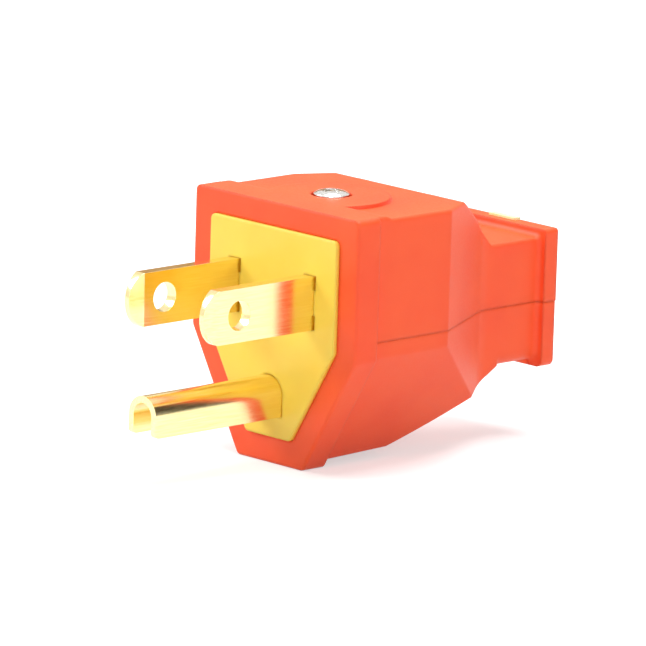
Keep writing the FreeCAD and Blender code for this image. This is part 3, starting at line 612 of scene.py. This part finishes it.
def makeHousingScrew():
    dome = housingScrew["domeMm"]
    height = housingScrew["headHeightMm"] - dome
    headRadius = housingScrew["headRadiusMm"]
    bpy.ops.mesh.primitive_cylinder_add(
        vertices=housingScrew["headSides"],
        radius=headRadius * mm,
        depth=height * mm,
        location=(0, housingScrew["placeMm"] * mm, (housingScrew["seatMm"] + height / 2) * mm),
    )
    piece = bpy.context.object
    bpy.ops.object.transform_apply(location=True, rotation=True, scale=True)
    pick(piece, "polygons", lambda face: face.normal.z > facing)
    rings = housingScrew["domeRings"]
    levels = [
        dome * (1 - (1 - step / rings) ** housingScrew["domePower"]) for step in range(rings + 1)
    ]
    for lower, upper in zip(levels, levels[1:]):
        bpy.ops.mesh.inset(thickness=headRadius * housingScrew["domeShare"] / rings * mm)
        bpy.ops.transform.translate(value=(0, 0, (upper - lower) * mm))
    pick(piece, "polygons", lambda face: face.normal.z < -facing)
    bpy.ops.mesh.inset(thickness=(headRadius - housingScrew["shankRadiusMm"]) * mm)
    bpy.ops.mesh.extrude_region_move(
        TRANSFORM_OT_translate=slide(0, 0, housingScrew["tipMm"] - housingScrew["seatMm"])
    )
    bpy.ops.mesh.bevel(offset=housingScrew["tipChamferMm"] * mm, segments=1, affect="EDGES")
    bpy.ops.object.mode_set(mode="OBJECT")
    cutWith(piece, makeCrossCutter())
    roundEdges(piece, housingScrew["rolledEdgeMm"], segments=2, angleDegrees=50)
    return piece


finishPiece(makeHousingScrew(), "housingScrew", nickelPlate, "housing_screw")
print("housing screw modelled")

# camera, as the photograph was taken
view = {
    "place": (651.16, -617.94, 186.96),
    "aim": (-0.449, 8.462, -4.733),
    "rollDegrees": 1.755,
    "lensMm": 440.58,
    "sensorMm": 36.0,
    "clipStartM": 0.01,
    "clipEndM": 20.0,
}
cameraPlace = Vector(view["place"]) * mm
towards = (Vector(view["aim"]) * mm - cameraPlace).to_track_quat("-Z", "Y").to_matrix()
roll = Matrix.Rotation(math.radians(view["rollDegrees"]), 3, "Z")
bpy.ops.object.camera_add(location=cameraPlace)
camera = bpy.context.object
camera.rotation_euler = (towards @ roll).to_euler()
camera.data.lens = view["lensMm"]
camera.data.sensor_width = view["sensorMm"]
camera.data.clip_start = view["clipStartM"]
camera.data.clip_end = view["clipEndM"]
bpy.context.scene.camera = camera

# Studio: a white tent with four soft boxes, and two matt cards that show only in the
# polished and satin surfaces. Places and sizes are in metres, aimed at the plug. The
# watts are low because every lamp is less than a metre away.
studio = {
    "tentStrength": 0.3,
    "lampAim": (0, 0.01, -0.005),
    "softBoxes": {
        "keyLamp": {"place": (-0.5, -0.35, 0.48), "size": 0.4, "watts": 4.0},
        "fillLamp": {"place": (0.7, 0.1, 0.35), "size": 0.5, "watts": 1.15},
        "frontLamp": {"place": (0.58, -0.62, 0.07), "size": 0.25, "watts": 1.3},
        "topLamp": {"place": (0.0, 0.1, 0.8), "size": 0.6, "watts": 8.0},
    },
    "mattCards": {
        "brown card": {"color": "#C89860", "place": (-0.71, 0.67, 0.22), "size": (0.7, 0.24)},
        "black card": {"color": "#2A2624", "place": (0.505, 0.778, 0.375), "size": (0.75, 0.74)},
    },
    "floorColor": "#C8C8C8",
    "floorLift": 0.54,
    "floorSize": 6.0,
    "floorMm": -20.27,
}

for name, box in studio["softBoxes"].items():
    bpy.ops.object.light_add(type="AREA", location=box["place"])
    lamp = bpy.context.object
    lamp.name = name
    lamp.data.energy = box["watts"]
    lamp.data.size = box["size"]
    lampWay = Vector(studio["lampAim"]) - Vector(box["place"])
    lamp.rotation_euler = lampWay.to_track_quat("-Z", "Y").to_euler()

for name, sheet in studio["mattCards"].items():
    cardMaterial, _, _ = newMaterial(
        name, {"Base Color": linearColor(sheet["color"]), "Roughness": 1.0}
    )
    bpy.ops.mesh.primitive_plane_add(size=1.0, location=sheet["place"])
    card = bpy.context.object
    card.name = name
    card.scale = (*sheet["size"], 1)
    card.rotation_euler = (-Vector(sheet["place"])).to_track_quat("Z", "Y").to_euler()
    card.visible_camera = card.visible_diffuse = False
    card.visible_shadow = card.visible_transmission = False
    card.data.materials.append(cardMaterial)


def seenDirectly(tree):
    rays = addNode(tree, "ShaderNodeLightPath").outputs
    mirrored = addNode(
        tree,
        "ShaderNodeMath",
        links={0: rays["Is Camera Ray"], 1: rays["Is Glossy Ray"]},
        operation="MAXIMUM",
    )
    through = {0: mirrored.outputs[0], 1: rays["Is Transmission Ray"]}
    return addNode(tree, "ShaderNodeMath", links=through, operation="MAXIMUM").outputs[0]


world = bpy.data.worlds.new("white tent")
bpy.context.scene.world = world
world.use_nodes = True
worldTree = world.node_tree
worldTree.nodes.clear()
pureWhite = linearColor("#FFFFFF")
tent = addNode(
    worldTree, "ShaderNodeBackground", {"Color": pureWhite, "Strength": studio["tentStrength"]}
)
backdrop = addNode(worldTree, "ShaderNodeBackground", {"Color": pureWhite, "Strength": 1.0})
air = addNode(
    worldTree,
    "ShaderNodeMixShader",
    links={"Fac": seenDirectly(worldTree), 1: tent.outputs[0], 2: backdrop.outputs[0]},
)
addNode(worldTree, "ShaderNodeOutputWorld", links={"Surface": air.outputs[0]})

# Seamless white paper: matt, and lifted to white where it is seen. It lies a hair
# below the foot of the rim.
bpy.ops.mesh.primitive_plane_add(
    size=studio["floorSize"], location=(0, 0, studio["floorMm"] * mm)
)
floor = bpy.context.object
floor.name = "floor"
floorPaper, floorTree, floorShader = newMaterial(
    "seamless white paper",
    {"Base Color": linearColor(studio["floorColor"]), "Roughness": 0.9, "Specular IOR Level": 0.0},
)
floorShader.inputs["Emission Color"].default_value = pureWhite
lift = addNode(
    floorTree,
    "ShaderNodeMath",
    {1: studio["floorLift"]},
    {0: seenDirectly(floorTree)},
    operation="MULTIPLY",
)
floorTree.links.new(lift.outputs[0], floorShader.inputs["Emission Strength"])
floor.data.materials.append(floorPaper)
print("studio lit")
